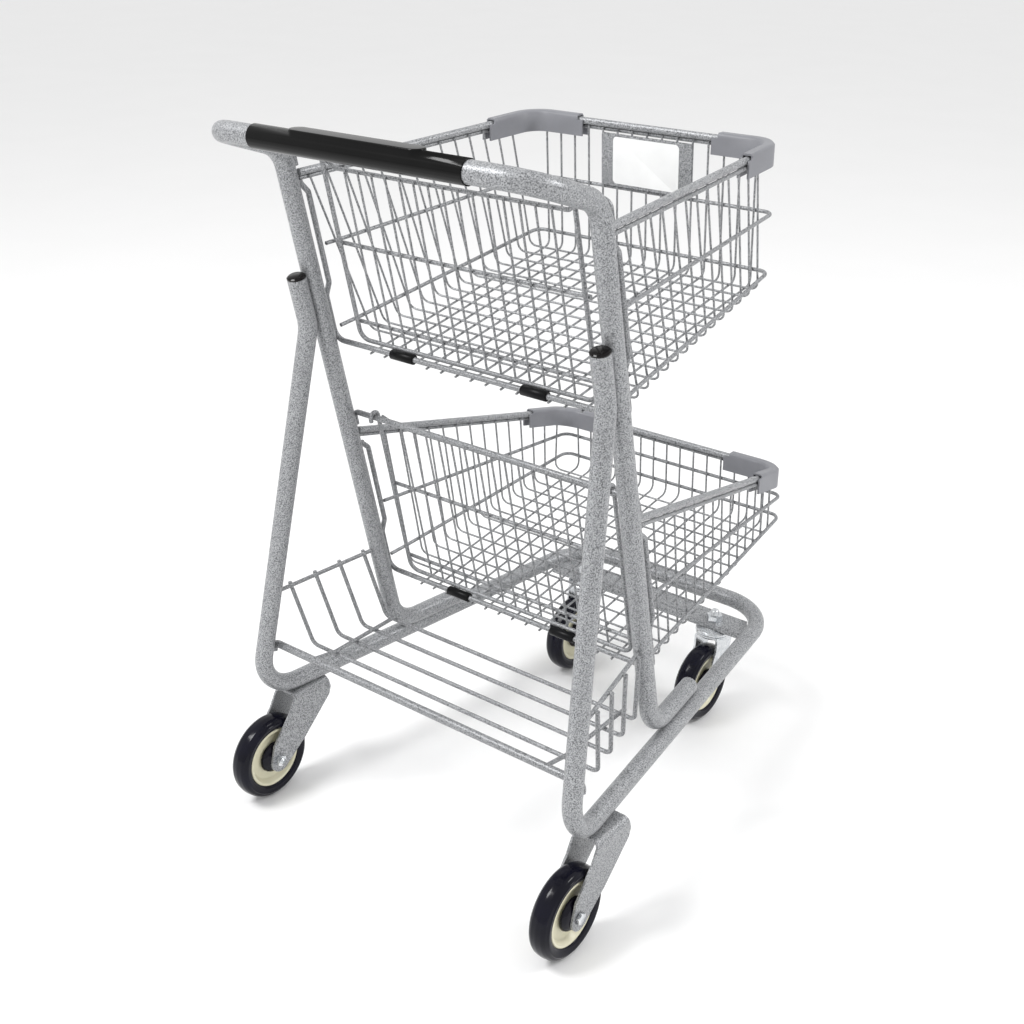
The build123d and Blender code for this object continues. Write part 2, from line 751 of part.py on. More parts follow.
def wheel_centre():
    bore = BOLT_D / 2 + RUNNING
    half = WHEEL_W / 2 - 3.5
    hub = HUB_W / 2
    profile = [
        (bore, -hub), (HUB_R, -hub), (HUB_R + 1, -5), (TYRE_SEAT_R - 9, -3.5),
        (TYRE_SEAT_R - 4, -half), (TYRE_SEAT_R, -half), (TYRE_SEAT_R, half),
        (TYRE_SEAT_R - 4, half), (TYRE_SEAT_R - 9, 3.5), (HUB_R + 1, 5), (HUB_R, hub), (bore, hub),
    ]
    return turned(profile)


def thread_guard():
    # a domed cup over one end of the hub, its open side towards the wheel
    back = FORK_W / 2 - FORK_PLATE - WELD
    bore = BOLT_D / 2 + WELD
    profile = [
        (bore, back), (12.5, back), (19, back - 2.6), (GUARD_R - 1.4, back - 6), (GUARD_R, back - 10),
        (GUARD_R - 1.8, back - 10), (GUARD_R - 3.2, back - 6.7), (18, back - 4.1), (12, back - 1.9),
        (bore, back - 1.9),
    ]
    return turned(profile)


def axle_bolt():
    head = FORK_W / 2 + WELD
    shank = Pos(0, 0, -head - AXLE_HEAD_H - 4) * extrude(Circle(BOLT_D / 2),
                                                        amount=2 * head + AXLE_HEAD_H + 4)
    hex_head = Pos(0, 0, head) * hexagon(AXLE_HEAD_ACROSS, AXLE_HEAD_H)
    cap = turned([(0, 0), (AXLE_HEAD_ACROSS, 0), (AXLE_HEAD_ACROSS / 2 - 0.6, AXLE_HEAD_H), (0, AXLE_HEAD_H)])
    return shank + (hex_head & (Pos(0, 0, head) * cap))


def axle_nut():
    head = FORK_W / 2 + WELD
    nut = hexagon(AXLE_HEAD_ACROSS, AXLE_HEAD_H + 1) - extrude(Circle(BOLT_D / 2 + WELD), amount=20)
    return Pos(0, 0, -head - AXLE_HEAD_H - 1) * nut


def pieces_on_axle(x, y, side):
    # bolt head faces outwards
    turn = Rot(0, 90 * side, 0)
    place = Pos(x, y, WHEEL_R)
    bolt = [place * (turn * axle_bolt()), place * (turn * axle_nut())]
    guards = [place * (turn * thread_guard()), place * (Rot(0, -90 * side, 0) * thread_guard())]
    return bolt, guards


def fork_from(outline, roof_z, hole_y, corner):
    # a bent plate: the side outline cut through an inverted channel
    side = Polyline([(0, y, z) for y, z in outline], close=True)
    block = extrude(make_face(side), amount=FORK_W, both=True, dir=(1, 0, 0))
    tall = roof_z
    section = Pos(0, tall / 2) * Rectangle(FORK_W, tall)
    section = fillet(section.vertices().group_by(Axis.Y)[-1], corner)
    hollow_w = FORK_W - 2 * FORK_PLATE
    hollow = Pos(0, (tall - FORK_PLATE) / 2) * Rectangle(hollow_w, tall - FORK_PLATE)
    hollow = fillet(hollow.vertices().group_by(Axis.Y)[-1], corner - FORK_PLATE)
    channel = Plane((0, 0, 0), x_dir=(-1, 0, 0), z_dir=(0, 1, 0)) * (section - hollow)
    fork = block & extrude(channel, amount=1000, both=True)
    bolt_way = extrude(Circle(BOLT_D / 2 + WELD), amount=FORK_W, both=True)
    return fork - across_x(bolt_way, 0, hole_y, WHEEL_R)


def round_end(y, z, radius, start_deg, end_deg):
    points = []
    for k in range(9):
        a = math.radians(start_deg + (end_deg - start_deg) * k / 8)
        points.append((y + radius * math.cos(a), z + radius * math.sin(a)))
    return points


def rear_fork(side):
    roof = RAIL_Z - TUBE_R - WELD
    outline = round_end(4, WHEEL_R - 3.5, 18, 180, 320)
    outline += [(55, 75), (108, 122), (112, 134), (FORK_TOP_FRONT_Y, roof + 1), (43, roof + 1)]
    outline += [(26, 125), (-6, 88)]
    fork = fork_from(outline, roof, 0, 9)
    return Pos(side * REAR_WHEEL_X, 0, 0) * fork


def caster_fork(side):
    roof = RACE_TOP_Z - RACE_H - CLEAR
    lean = STEM_Y - FRONT_AXLE_Y
    outline = round_end(0, WHEEL_R, 13, 170, 330)
    outline += [(lean + 18, 112), (lean + 23, 126), (lean + 23, roof + 1), (lean - 23, roof + 1)]
    outline += [(lean - 24, 120), (-11, 84)]
    fork = fork_from(outline, roof, 0, 8)
    way = Pos(0, lean, roof - 20) * extrude(Circle(STEM_D / 2 + RUNNING), amount=40)
    ring = turned([(STEM_D / 2 + RUNNING, 0), (RACE_R - 3, 0), (RACE_R - 1, 2.5), (RACE_R - 2, 5),
                   (STEM_D / 2 + RUNNING, 5)])
    ring = Pos(0, lean, roof - 5) * ring
    return Pos(side * CASTER_X, FRONT_AXLE_Y, 0) * (fork - way + ring)


def caster_stem(side):
    neck_top = PLATE_TOP_Z - PLATE_T - WELD
    floor_z = RACE_TOP_Z - RACE_H - 5 - CLEAR
    head = floor_z - CLEAR
    profile = [
        (0, head - 5), (STEM_D / 2 + 3, head - 5), (STEM_D / 2 + 3, head), (STEM_D / 2, head),
        (STEM_D / 2, RACE_TOP_Z - RACE_H), (RACE_R - 1, RACE_TOP_Z - RACE_H),
        (RACE_R, RACE_TOP_Z - RACE_H + 2), (RACE_R - 1, RACE_TOP_Z - 2),
        (RACE_R - 5, RACE_TOP_Z), (NECK_R, RACE_TOP_Z), (NECK_R, neck_top),
        (STEM_D / 2, neck_top), (STEM_D / 2, STEM_TOP_Z - 1.5), (STEM_D / 2 - 1.5, STEM_TOP_Z),
        (0, STEM_TOP_Z),
    ]
    return Pos(side * CASTER_X, STEM_Y, 0) * turned(profile)


def stem_nut(side):
    nut = hexagon(NUT_ACROSS, NUT_H) - extrude(Circle(STEM_D / 2 + WELD), amount=NUT_H)
    return Pos(side * CASTER_X, STEM_Y, PLATE_TOP_Z + WELD) * (Rot(0, 0, 12) * nut)


def caster_cross_plate():
    rear = rail_inner_x(PLATE_REAR_Y) - CLEAR
    front = rail_inner_x(PLATE_FRONT_Y) - CLEAR
    plan = Polyline([(-rear, PLATE_REAR_Y, 0), (rear, PLATE_REAR_Y, 0),
                     (front, PLATE_FRONT_Y, 0), (-front, PLATE_FRONT_Y, 0)], close=True)
    block = extrude(Pos(0, 0, PLATE_TOP_Z - PLATE_FLANGE) * make_face(plan), amount=PLATE_FLANGE)
    hollow = Pos(0, (PLATE_REAR_Y + PLATE_FRONT_Y) / 2, PLATE_TOP_Z - PLATE_T - 20) * Box(
        1000, PLATE_FRONT_Y - PLATE_REAR_Y - 2 * PLATE_T, 40)
    plate = block - hollow
    for side in (-1, 1):
        hole = Pos(side * CASTER_X, STEM_Y, PLATE_TOP_Z) * Cylinder(STEM_D / 2 + WELD, 20)
        plate = plate - hole
    return plate


# ---------------------------------------------------------------- export

save("base_frame", [base_frame()])
save("leg_caps", [leg_cap(), mirrored(leg_cap())])
save("handle_frame", [handle_frame()])
save("handle_grip", [handle_grip()])

for basket in (UPPER, LOWER):
    tier = basket["name"]
    save(tier + "_hinge_rod", [hinge_rod(basket)])
    save(tier + "_rear_rod", [rear_rod(basket)])
    save(tier + "_rim", rim(basket))
    save(tier + "_band_wires", band_wires(basket))
    save(tier + "_side_wires", side_wires(basket))
    save(tier + "_front_wires", front_wires(basket))
    save(tier + "_floor_cross_wires", floor_cross_wires(basket))
    save(tier + "_floor_long_wires", floor_long_wires(basket))
    save(tier + "_left_bumper", [bumper(basket, -1)])
    save(tier + "_right_bumper", [bumper(basket, 1)])
    save(tier + "_gate_sleeves", gate_sleeves(basket))
    save(tier + "_gate_frame", gate_frame(basket))
    save(tier + "_gate_uprights", gate_uprights(basket))

save("front_panel", [front_panel(UPPER)])
save("panel_label", [panel_label(UPPER)])

save("tray_rear_bar", [tray_rear_bar()])
save("tray_floor_wires", tray_floor_wires())
save("tray_long_wires", tray_long_wires())
save("tray_hoops", tray_hoops())
save("tray_side_rails", tray_side_rails())

save("caster_cross_plate", [caster_cross_plate()])
save("caster_stem_nuts", [stem_nut(-1), stem_nut(1)])

rear_bolts = []
rear_guards = []
for side, hand in ((-1, "left"), (1, "right")):
    save(hand + "_rear_fork", [rear_fork(side)])
    bolt, guards = pieces_on_axle(side * REAR_WHEEL_X, 0, side)
    rear_bolts += bolt
    rear_guards += guards
    at_rear = Pos(side * REAR_WHEEL_X, 0, WHEEL_R) * Rot(0, 90, 0)
    save("rear_" + hand + "_tyre", [at_rear * tyre()])
    save("rear_" + hand + "_wheel_centre", [at_rear * wheel_centre()])
    save(hand + "_caster_stem", [caster_stem(side)])
    save(hand + "_caster_fork", [caster_fork(side)])
    bolt, guards = pieces_on_axle(side * CASTER_X, FRONT_AXLE_Y, side)
    save("front_" + hand + "_axle_bolt", bolt)
    save("front_" + hand + "_thread_guards", guards)
    at_front = Pos(side * CASTER_X, FRONT_AXLE_Y, WHEEL_R) * Rot(0, 90, 0)
    save("front_" + hand + "_tyre", [at_front * tyre()])
    save("front_" + hand + "_wheel_centre", [at_front * wheel_centre()])

save("rear_axle_bolts", rear_bolts)
save("rear_thread_guards", rear_guards)
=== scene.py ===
import json
import math

import bmesh
import bpy
from mathutils import Matrix, Vector


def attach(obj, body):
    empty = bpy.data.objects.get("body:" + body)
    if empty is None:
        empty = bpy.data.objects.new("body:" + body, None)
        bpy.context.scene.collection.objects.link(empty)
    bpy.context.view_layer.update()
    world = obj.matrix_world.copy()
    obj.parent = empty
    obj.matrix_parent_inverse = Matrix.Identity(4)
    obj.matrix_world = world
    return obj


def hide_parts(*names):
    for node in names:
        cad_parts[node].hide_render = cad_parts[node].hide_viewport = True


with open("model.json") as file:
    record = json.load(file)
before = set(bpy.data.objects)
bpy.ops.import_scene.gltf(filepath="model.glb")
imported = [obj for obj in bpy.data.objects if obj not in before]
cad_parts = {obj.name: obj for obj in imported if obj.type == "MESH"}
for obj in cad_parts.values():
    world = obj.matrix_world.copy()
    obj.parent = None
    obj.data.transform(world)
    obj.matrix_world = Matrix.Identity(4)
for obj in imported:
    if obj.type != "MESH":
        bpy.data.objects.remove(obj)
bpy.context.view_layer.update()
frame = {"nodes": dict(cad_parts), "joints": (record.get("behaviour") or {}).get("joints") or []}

# Lengths in the dictionaries are millimetres, y is counted from the rear axle.
# place() turns them into the frame's metres.
mm = 0.001
joints = {j["name"]: j for j in frame["joints"]}
axleY = joints["rear_left_wheel_spin"]["pos_m"][1]
weld = 0.03
butt = 0.4


def place(point):
    x, y, z = point
    return Vector((x * mm, y * mm + axleY, z * mm))


def newMaterial(name, settings):
    mat = bpy.data.materials.new(name)
    mat.use_nodes = True
    shader = mat.node_tree.nodes["Principled BSDF"]
    for socket, value in settings.items():
        shader.inputs[socket].default_value = value
    return mat, mat.node_tree, shader


def objectNoise(tree, scale, detail=2.0, rough=0.5):
    coords = tree.nodes.new("ShaderNodeTexCoord")
    noise = tree.nodes.new("ShaderNodeTexNoise")
    noise.inputs["Scale"].default_value = scale
    noise.inputs["Detail"].default_value = detail
    noise.inputs["Roughness"].default_value = rough
    tree.links.new(coords.outputs["Object"], noise.inputs["Vector"])
    return noise


def ramp(tree, source, stops):
    node = tree.nodes.new("ShaderNodeValToRGB")
    while len(node.color_ramp.elements) < len(stops):
        node.color_ramp.elements.new(0.5)
    for element, (spot, colour) in zip(node.color_ramp.elements, stops):
        element.position = spot
        element.color = (*colour, 1.0)
    tree.links.new(source, node.inputs["Fac"])
    return node


def bumpFrom(tree, shader, source, strength, distance):
    bump = tree.nodes.new("ShaderNodeBump")
    bump.inputs["Strength"].default_value = strength
    bump.inputs["Distance"].default_value = distance
    tree.links.new(source, bump.inputs["Height"])
    tree.links.new(bump.outputs["Normal"], shader.inputs["Normal"])


def rangeOf(tree, source, low, high):
    spread = tree.nodes.new("ShaderNodeMapRange")
    spread.inputs["To Min"].default_value = low
    spread.inputs["To Max"].default_value = high
    tree.links.new(source, spread.inputs["Value"])
    return spread


powderCoat = {
    "dark": (0.085, 0.088, 0.094), "mid": (0.285, 0.291, 0.302), "light": (0.47, 0.478, 0.49),
    "speckle": 620.0, "metallic": 0.30,
}


def makePowderCoat(name, look, paintedShadeFactor=1.0):
    mat, tree, shader = newMaterial(name, {"Metallic": look["metallic"], "IOR": 1.5})
    speckle = objectNoise(tree, look["speckle"], 3.0, 0.65)
    # a factor below 1 paints shade into all three speckle colours
    stops = [(0.36, [c * paintedShadeFactor for c in look["dark"]]), (0.49, [c * paintedShadeFactor for c in look["mid"]]),
             (0.63, [c * paintedShadeFactor for c in look["light"]])]
    colour = ramp(tree, speckle.outputs["Fac"], stops)
    tree.links.new(colour.outputs["Color"], shader.inputs["Base Color"])
    patches = objectNoise(tree, 45.0, 2.0)
    rough = rangeOf(tree, patches.outputs["Fac"], 0.34, 0.46)
    tree.links.new(rough.outputs["Result"], shader.inputs["Roughness"])
    bumpFrom(tree, shader, speckle.outputs["Fac"], 0.25, 0.0004)
    return mat


def makePlastic(name, colour, darker, roughness, coat=0.0, grain=380.0, bump=0.05, shine=0.5):
    settings = {"Coat Weight": coat, "Coat Roughness": 0.06, "Coat IOR": 1.35, "Specular IOR Level": shine}
    mat, tree, shader = newMaterial(name, settings)
    cloud = objectNoise(tree, 28.0, 3.0)
    tint = ramp(tree, cloud.outputs["Fac"], [(0.35, darker), (0.65, colour)])
    tree.links.new(tint.outputs["Color"], shader.inputs["Base Color"])
    fine = objectNoise(tree, grain, 2.0)
    rough = rangeOf(tree, fine.outputs["Fac"], roughness * 0.85, roughness * 1.15)
    tree.links.new(rough.outputs["Result"], shader.inputs["Roughness"])
    bumpFrom(tree, shader, fine.outputs["Fac"], bump, 0.0003)
    return mat


def makeZinc(name):
    mat, tree, shader = newMaterial(name, {"Metallic": 1.0})
    cloud = objectNoise(tree, 130.0, 4.0, 0.7)
    tint = ramp(tree, cloud.outputs["Fac"], [(0.3, (0.50, 0.53, 0.56)), (0.7, (0.80, 0.81, 0.82))])
    tree.links.new(tint.outputs["Color"], shader.inputs["Base Color"])
    rough = rangeOf(tree, cloud.outputs["Fac"], 0.18, 0.36)
    tree.links.new(rough.outputs["Result"], shader.inputs["Roughness"])
    bumpFrom(tree, shader, cloud.outputs["Fac"], 0.08, 0.0003)
    return mat


finishes = {
    "frame_coat": makePowderCoat("frameHammertone", powderCoat),
    # the wires take the frame's powder coat dimmed to 0.86: painted shade on the thin wires, the coat itself
    # is the same
    "wire_coat": makePowderCoat("wireHammertone", powderCoat, 0.86),
    "bumper_grey": makePlastic("bumperPlastic", (0.215, 0.218, 0.236), (0.195, 0.198, 0.215), 0.42,
                               shine=0.35),
    "grip_black": makePlastic("gripVinyl", (0.003, 0.003, 0.003), (0.002, 0.002, 0.002), 0.14, shine=0.16),
    "cap_black": makePlastic("capPlastic", (0.004, 0.003, 0.003), (0.002, 0.002, 0.002), 0.12, shine=0.20),
    "sleeve_black": makePlastic("sleeveNylon", (0.005, 0.005, 0.006), (0.003, 0.003, 0.003), 0.34,
                                shine=0.14),
    "zinc": makeZinc("zincPlate"),
    "tyre_rubber": makePlastic("tyreRubber", (0.004, 0.004, 0.011), (0.002, 0.002, 0.006), 0.15, shine=0.20),
    "wheel_cream": makePlastic("wheelNylon", (0.72, 0.69, 0.52), (0.66, 0.63, 0.46), 0.34),
    "guard_black": makePlastic("guardPlastic", (0.004, 0.003, 0.010), (0.002, 0.002, 0.006), 0.12,
                               shine=0.22),
    "label_white": makePlastic("labelFilm", (0.86, 0.865, 0.86), (0.82, 0.825, 0.82), 0.40, 0.0, 900.0, 0.02),
}
print("finishes ready:", len(finishes))


def makeBentRodTree():
    # corner points with a bend radius in, a round rod along the rounded line out
    tree = bpy.data.node_groups.new("bentRod", "GeometryNodeTree")
    face = tree.interface
    face.new_socket("Geometry", in_out="INPUT", socket_type="NodeSocketGeometry")
    face.new_socket("Diameter", in_out="INPUT", socket_type="NodeSocketFloat")
    face.new_socket("Sides", in_out="INPUT", socket_type="NodeSocketInt")
    face.new_socket("Bend Steps", in_out="INPUT", socket_type="NodeSocketInt")
    face.new_socket("Finish", in_out="INPUT", socket_type="NodeSocketMaterial")
    face.new_socket("Geometry", in_out="OUTPUT", socket_type="NodeSocketGeometry")
    nodes = tree.nodes
    link = tree.links.new
    start = nodes.new("NodeGroupInput")
    end = nodes.new("NodeGroupOutput")
    line = nodes.new("GeometryNodeMeshToCurve")
    link(start.outputs["Geometry"], line.inputs["Mesh"])
    bend = nodes.new("GeometryNodeInputNamedAttribute")
    bend.data_type = "FLOAT"
    bend.inputs["Name"].default_value = "bend"
    fillet = nodes.new("GeometryNodeFilletCurve")
    fillet.mode = "POLY"
    link(line.outputs["Curve"], fillet.inputs["Curve"])
    link(start.outputs["Bend Steps"], fillet.inputs["Count"])
    link(bend.outputs["Attribute"], fillet.inputs["Radius"])
    half = nodes.new("ShaderNodeMath")
    half.operation = "MULTIPLY"
    half.inputs[1].default_value = 0.5
    link(start.outputs["Diameter"], half.inputs[0])
    circle = nodes.new("GeometryNodeCurvePrimitiveCircle")
    link(start.outputs["Sides"], circle.inputs["Resolution"])
    link(half.outputs["Value"], circle.inputs["Radius"])
    rod = nodes.new("GeometryNodeCurveToMesh")
    rod.inputs["Fill Caps"].default_value = True
    link(fillet.outputs["Curve"], rod.inputs["Curve"])
    link(circle.outputs["Curve"], rod.inputs["Profile Curve"])
    smooth = nodes.new("GeometryNodeSetShadeSmooth")
    link(rod.outputs["Mesh"], smooth.inputs["Geometry"])
    real = nodes.new("GeometryNodeRealizeInstances")
    link(smooth.outputs["Geometry"], real.inputs["Geometry"])
    paint = nodes.new("GeometryNodeSetMaterial")
    link(real.outputs["Geometry"], paint.inputs["Geometry"])
    link(start.outputs["Finish"], paint.inputs["Material"])
    link(paint.outputs["Geometry"], end.inputs["Geometry"])
    return tree


bentRodTree = makeBentRodTree()


def linesMesh(name, lines):
    # each line is a list of (point, bend radius in mm)
    verts = []
    edges = []
    bends = []
    for line in lines:
        first = len(verts)
        for point, radius in line:
            verts.append(place(point))
            bends.append(radius * mm)
        edges += [(i, i + 1) for i in range(first, len(verts) - 1)]
    mesh = bpy.data.meshes.new(name + "Line")
    mesh.from_pydata(verts, edges, [])
    mesh.attributes.new("bend", "FLOAT", "POINT").data.foreach_set("value", bends)
    return mesh


def finishPiece(name, mesh, body, slotName, nodes, sharp=40):
    mesh.name = name
    piece = bpy.data.objects.new(name, mesh)
    bpy.context.scene.collection.objects.link(piece)
    mesh.materials.clear()
    mesh.materials.append(finishes[slotName])
    for polygon in mesh.polygons:
        polygon.use_smooth = True
    mesh.set_sharp_from_angle(angle=math.radians(sharp))
    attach(piece, body)
    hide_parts(*nodes)
    return piece


def bentRods(name, lines, look, body, nodes):
    source = bpy.data.objects.new(name + "Source", linesMesh(name, lines))
    bpy.context.scene.collection.objects.link(source)
    modifier = source.modifiers.new("rods", "NODES")
    modifier.node_group = bentRodTree
    values = {"Diameter": look["diameter"] * mm, "Sides": look["sides"],
              "Bend Steps": look["bendSteps"], "Finish": finishes[look["slot"]]}
    for item in bentRodTree.interface.items_tree:
        if item.in_out == "INPUT" and item.name in values:
            modifier[item.identifier] = values[item.name]
    bpy.context.view_layer.update()
    depsgraph = bpy.context.evaluated_depsgraph_get()
    mesh = bpy.data.meshes.new_from_object(source.evaluated_get(depsgraph))
    bpy.data.objects.remove(source)
    return finishPiece(name, mesh, body, look["slot"], nodes)


def bothSides(half):
    # half runs from the right-hand end to the middle
    return list(half) + [((-p[0], p[1], p[2]), r) for p, r in reversed(half)]


def mirroredLine(line):
    return [((-p[0], p[1], p[2]), r) for p, r in line]


tubeFrame = {
    "diameter": 25.4, "sides": 36, "bendSteps": 14, "slot": "frame_coat",
    "uprightX": 238.7, "uprightY": 88.8, "uprightZ": 900.0, "rake": 0.2142, "spread": 0.0066,
    "handleY": -30.4, "handleZ": 972.5, "armFootZ": 933.4, "handleBend": 45.0,
    "footBend": 50.0, "footEndY": 368.0, "footInset": 9.3,
    "railZ": 165.5, "railX": 267.8, "railY": 50.0, "railTaper": 0.1357,
    "rearBendY": -4.7, "rearBend": 52.0, "frontY": 661.0, "frontBend": 85.0,
    "kneeZ": 698.0, "kneeBend": 60.0, "legTopZ": 766.4,
}
tubeR = tubeFrame["diameter"] / 2
tilt = math.atan(tubeFrame["rake"])


def uprightX(z):
    return tubeFrame["uprightX"] + tubeFrame["spread"] * (z - tubeFrame["uprightZ"])


def uprightY(z, ahead=0.0):
    # ahead is measured square to the upright
    return tubeFrame["uprightY"] - tubeFrame["rake"] * (z - tubeFrame["uprightZ"]) + ahead / math.cos(tilt)


def railX(y):
    return tubeFrame["railX"] - tubeFrame["railTaper"] * (y - tubeFrame["railY"])


def legPoint(z):
    kneeY = uprightY(tubeFrame["kneeZ"], -(tubeFrame["diameter"] + weld))
    share = (z - tubeFrame["railZ"]) / (tubeFrame["kneeZ"] - tubeFrame["railZ"])
    footX = railX(tubeFrame["rearBendY"])
    x = footX + share * (uprightX(tubeFrame["kneeZ"]) - footX)
    return x, tubeFrame["rearBendY"] + share * (kneeY - tubeFrame["rearBendY"]), z


def baseTubeLine():
    t = tubeFrame
    top = (uprightX(t["legTopZ"]), uprightY(t["legTopZ"], -(t["diameter"] + weld)), t["legTopZ"])
    half = [(top, 0), (legPoint(t["kneeZ"]), t["kneeBend"]),
            ((railX(t["rearBendY"]), t["rearBendY"], t["railZ"]), t["rearBend"]),
            ((railX(t["frontY"]), t["frontY"], t["railZ"]), t["frontBend"])]
    return bothSides(half)


def handleTubeLine():
    t = tubeFrame
    side = t["footInset"] * math.cos(math.atan(t["railTaper"]))
    footZ = t["railZ"] + math.sqrt((t["diameter"] + weld) ** 2 - side ** 2)
    cornerY = uprightY(footZ)
    half = [((railX(t["footEndY"]) - t["footInset"], t["footEndY"], footZ), 0),
            ((railX(cornerY) - t["footInset"], cornerY, footZ), t["footBend"]),
            ((uprightX(t["armFootZ"]), uprightY(t["armFootZ"]), t["armFootZ"]), t["handleBend"]),
            ((uprightX(t["handleZ"]), t["handleY"], t["handleZ"]), t["handleBend"])]
    return bothSides(half)


bentRods("baseTube", [baseTubeLine()], tubeFrame, "frame", ["base_frame"])
bentRods("handleTube", [handleTubeLine()], tubeFrame, "frame", ["handle_frame"])
print("tube frame bent")


basketWire = {"diameter": 3.0, "sides": 8, "bendSteps": 4, "slot": "wire_coat", "bend": 11.0,
              "frontPitch": 24.4, "frontEachSide": 7, "frontLean": 0.04, "nub": 4.0, "clear": 0.35}
bandWire = {"diameter": 5.3, "sides": 12, "bendSteps": 6, "slot": "wire_coat", "flareRun": 32.0,
            "flareOut": 4.0, "insideUpright": 3.0, "flareBend": 40, "cornerBend": 15}
rimRod = {"diameter": 9.5, "sides": 20, "bendSteps": 10, "slot": "frame_coat", "outside": 2.0}
underRod = {"diameter": 5.5, "sides": 14, "bendSteps": 10, "slot": "wire_coat", "drop": 8.0}
rearRod = {"diameter": 7.5, "sides": 18, "bendSteps": 6, "slot": "wire_coat", "bend": 15.0, "ahead": 26.0,
           "tail": 3.0, "tailBend": 4, "stepBend": 8}
hingeRod = {"diameter": 8.0, "sides": 18, "bendSteps": 6, "slot": "wire_coat", "bend": 10.0}
sleeveOnRod = {"diameter": 13.4, "length": 39.0}

upperBasket = {
    "name": "upper", "rimZ": 900.0, "rimY": 102.0, "rimSlope": 0.0369, "wallX": 231.0,
    "taper": 0.0830, "draft": 0.0205, "frontY": 536.0, "barZ": 668.0, "floorSlope": 0.165,
    "rimBend": 35.0, "sideCount": 14, "sideTop": 118.0, "sideTopPitch": 28.4,
    "sideFoot": 203.3, "sideFootPitch": 24.75,
    "bands": ((802.5, 828.0), (689.0, 747.0)), "rodSteps": (885.0, 872.0, 748.0, 732.0),
    "hingeZ": 932.0, "hingeEndZ": 908.0, "sleeves": (-116.0, 99.0),
    "gateHalf": 192.0, "gateShift": -5.0, "restAbove": 6.7, "gateBars": (909.0, 809.0, 699.0),
    "gateReach": 178.0,
}
lowerBasket = {
    "name": "lower", "rimZ": 527.8, "rimY": 182.0, "rimSlope": -0.2287, "wallX": 232.0,
    "taper": 0.0787, "draft": 0.0050, "frontY": 627.5, "barZ": 287.0, "floorSlope": 0.130,
    "rimBend": 40.0, "sideCount": 14, "sideTop": 231.0, "sideTopPitch": 28.6,
    "sideFoot": 269.4, "sideFootPitch": 25.6,
    "bands": ((402.0, 385.0), (311.0, 350.0)), "rodSteps": (505.0, 495.0, 371.0, 354.0),
    "hingeZ": 556.5, "hingeEndZ": 536.0, "sleeves": (-99.0, 87.0),
    "gateHalf": 197.0, "gateShift": 0.0, "restAbove": 8.5, "gateBars": (545.0, 444.0, 317.0),
    "gateReach": 173.0,
}


def rimHeight(b, y):
    return b["rimZ"] + b["rimSlope"] * (y - b["rimY"])


def wallX(b, y, z, out=0.0):
    square = math.sqrt(1 + b["taper"] ** 2 + b["draft"] ** 2)
    return b["wallX"] - b["taper"] * (y - b["rimY"]) + b["draft"] * (z - b["rimZ"]) + out * square


def frontWallY(b, z, out=0.0):
    return b["frontY"] + basketWire["frontLean"] * (rimHeight(b, b["frontY"]) - z) + out


def barY(b):
    return uprightY(b["barZ"], tubeR + rearRod["diameter"] / 2 + weld)


def floorCos(b):
    return math.cos(math.atan(b["floorSlope"]))


def crossFloorZ(b, y):
    lift = (rearRod["diameter"] - basketWire["diameter"]) / 2 / floorCos(b)
    return b["barZ"] - lift + b["floorSlope"] * (y - barY(b))


def longFloorZ(b, y):
    return crossFloorZ(b, y) - (basketWire["diameter"] + weld) / floorCos(b)


def rimHalfLine(b, drop, out, radius, rodD):
    zRear = rimHeight(b, b["rimY"]) - drop
    slant = tubeFrame["rake"] + max(0, -b["rimSlope"])
    rearY = uprightY(zRear, tubeR) + butt + slant * rodD / 2
    zRear = rimHeight(b, rearY) - drop
    zFront = rimHeight(b, b["frontY"]) - drop
    front = frontWallY(b, zFront, out)
    return [((wallX(b, rearY, zRear, out), rearY, zRear), 0),
            ((wallX(b, front, zFront, out), front, zFront), radius)]


def underOut():
    return (basketWire["diameter"] + underRod["diameter"]) / 2 + weld


def bandLine(b, rearZ, frontZ):
    out = (basketWire["diameter"] + bandWire["diameter"]) / 2 + weld
    rearY = uprightY(rearZ, tubeR + rearRod["diameter"] + butt)
    if b["rodSteps"][2] < rearZ < b["rodSteps"][1]:
        rearY = uprightY(rearZ, rearRod["ahead"] + rearRod["diameter"] / 2 + butt)
    rearY = rearY + tubeFrame["rake"] * bandWire["diameter"] / 2
    flareY = rearY + bandWire["flareRun"]
    front = frontWallY(b, frontZ, out)
    flareZ = rearZ + (frontZ - rearZ) / (front - rearY) * (flareY - rearY)
    flareX = wallX(b, flareY, flareZ, out)
    rearX = min(flareX + bandWire["flareOut"], uprightX(rearZ) - bandWire["insideUpright"])
    rearX = max(rearX, wallX(b, rearY, rearZ, out))
    half = [((rearX, rearY, rearZ), 0), ((flareX, flareY, flareZ), bandWire["flareBend"]),
            ((wallX(b, front, frontZ, out), front, frontZ), bandWire["cornerBend"])]
    return bothSides(half)


def cornerPull(b, along):
    radius = b["rimBend"] + underOut() - rimRod["outside"]
    into = radius * math.tan((math.pi / 2 - math.atan(b["taper"])) / 2) - along
    if into <= 0:
        return 0.0
    return radius - math.sqrt(radius ** 2 - into ** 2)


def wireTopZ(b, y):
    return rimHeight(b, y) - (rimRod["diameter"] / 2 + weld) * math.sqrt(1 + b["rimSlope"] ** 2) - butt


def hoopLine(b, k):
    # one wire: down a side wall, across the floor and up the other side
    topY = b["sideTop"] + b["sideTopPitch"] * k
    topZ = wireTopZ(b, topY)
    footY = b["sideFoot"] + b["sideFootPitch"] * k
    footZ = crossFloorZ(b, footY)
    topX = wallX(b, topY, topZ) - cornerPull(b, b["frontY"] - topY)
    return bothSides([((topX, topY, topZ), 0), ((wallX(b, footY, footZ), footY, footZ), basketWire["bend"])])


